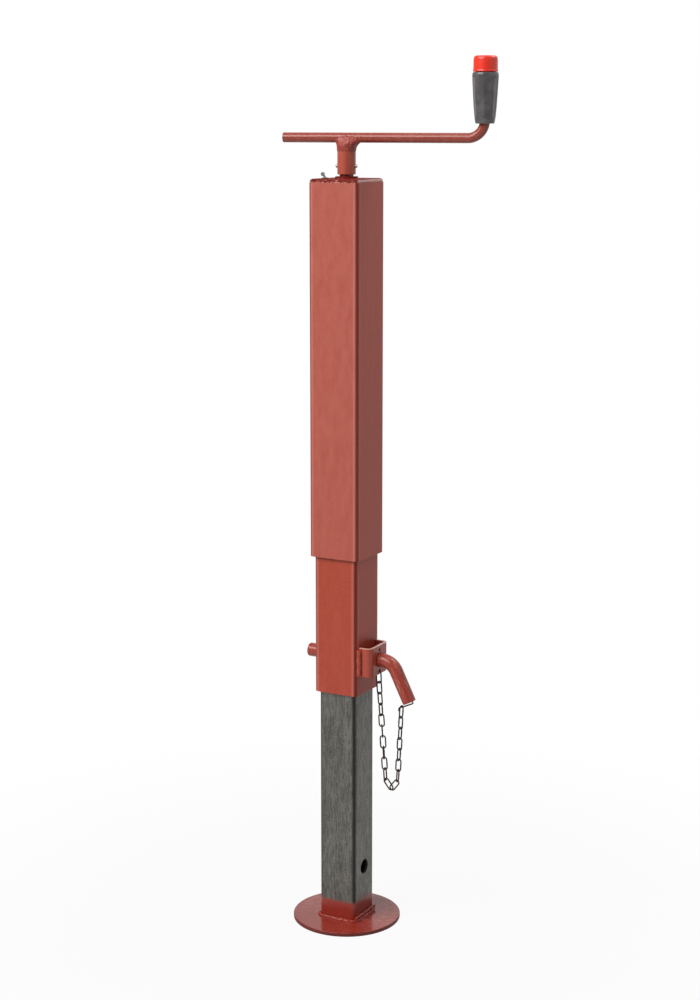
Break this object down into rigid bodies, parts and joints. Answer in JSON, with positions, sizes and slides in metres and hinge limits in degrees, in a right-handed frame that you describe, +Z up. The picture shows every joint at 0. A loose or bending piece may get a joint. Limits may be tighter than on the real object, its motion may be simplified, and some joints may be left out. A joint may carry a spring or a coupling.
{
  "type": "trailer prop stand",
  "caption": "Square telescopic prop stand with a crank-driven screw, swivelling grip, drop leg, chained locking pin and round foot plate.",
  "frame": {"origin": "centre of the foot plate's underside, on the axis of the tubes", "axes": "+Z up along the tubes; +X the way the locking pin is drawn out; -Y the wide face seen in the picture"},
  "size_m": [0.3053, 0.16, 1.265],
  "materials": {
    "casing_paint": "satin",
    "tube_paint": "satin",
    "foot_paint": "gloss",
    "crank_paint": "satin",
    "bare_steel": "satin",
    "machined_steel": "satin",
    "chain_steel": "satin",
    "grip_plastic": "matte",
    "cap_plastic": "gloss"
  },
  "bodies": {
    "casing": {"outer_tube": "casing_paint", "top_plate": "casing_paint", "spindle_bush": "machined_steel", "grease_nipple": "machined_steel"},
    "crank": {"screw_spindle": "machined_steel", "thrust_balls": "machined_steel", "stop_pin": "machined_steel", "crank": "crank_paint", "hub_pin": "machined_steel", "grip_retainer": "machined_steel"},
    "grip": {"grip_sleeve": "grip_plastic", "grip_cap": "cap_plastic"},
    "inner": {"inner_tube": "tube_paint", "nut_plate": "tube_paint", "drive_nut": "machined_steel", "pin_strap": "tube_paint", "chain_anchor_link": "chain_steel", "drop_leg": "bare_steel", "foot_plate": "foot_paint"},
    "pin": {"locking_pin": "tube_paint", "pin_chain_hook": "chain_steel"},
    "chain_left": {"chain_left_links": "chain_steel"},
    "chain_right": {"chain_right_links": "chain_steel"}
  },
  "joints": [
    {"name": "crank_turn", "type": "hinge", "parent": "casing", "child": "crank", "pos_m": [0, 0, 1.155], "axis": [0, 0, 1], "range_deg": [-12960, 8640]},
    {"name": "grip_spin", "type": "hinge", "parent": "crank", "child": "grip", "pos_m": [0.19436, 0.03778, 1.2], "axis": [0, 0, 1], "continuous": true},
    {"name": "inner_slide", "type": "slide", "parent": "casing", "child": "inner", "axis": [0, 0, 1], "range_m": [-0.1801, 0.1201]},
    {"name": "pin_pull", "type": "slide", "parent": "inner", "child": "pin", "axis": [1, 0, 0], "range_m": [0, 0.105]},
    {"name": "chain_left_swing", "type": "hinge", "parent": "inner", "child": "chain_left", "pos_m": [0.05386, 0, 0.37482], "axis": [0, 1, 0], "range_deg": [-21.3, 0.1]},
    {"name": "chain_right_swing", "type": "hinge", "parent": "pin", "child": "chain_right", "pos_m": [0.09125, 0, 0.34343], "axis": [0, 1, 0], "range_deg": [-0.1, 25.1]}
  ],
  "couplings": [
    {"joint": "inner_slide", "follows": "crank_turn", "m_per_rad": 0.00079577},
    {"joint": "chain_left_swing", "follows": "pin_pull", "rad_per_m": -3.5319},
    {"joint": "chain_right_swing", "follows": "pin_pull", "rad_per_m": 4.1487}
  ]
}
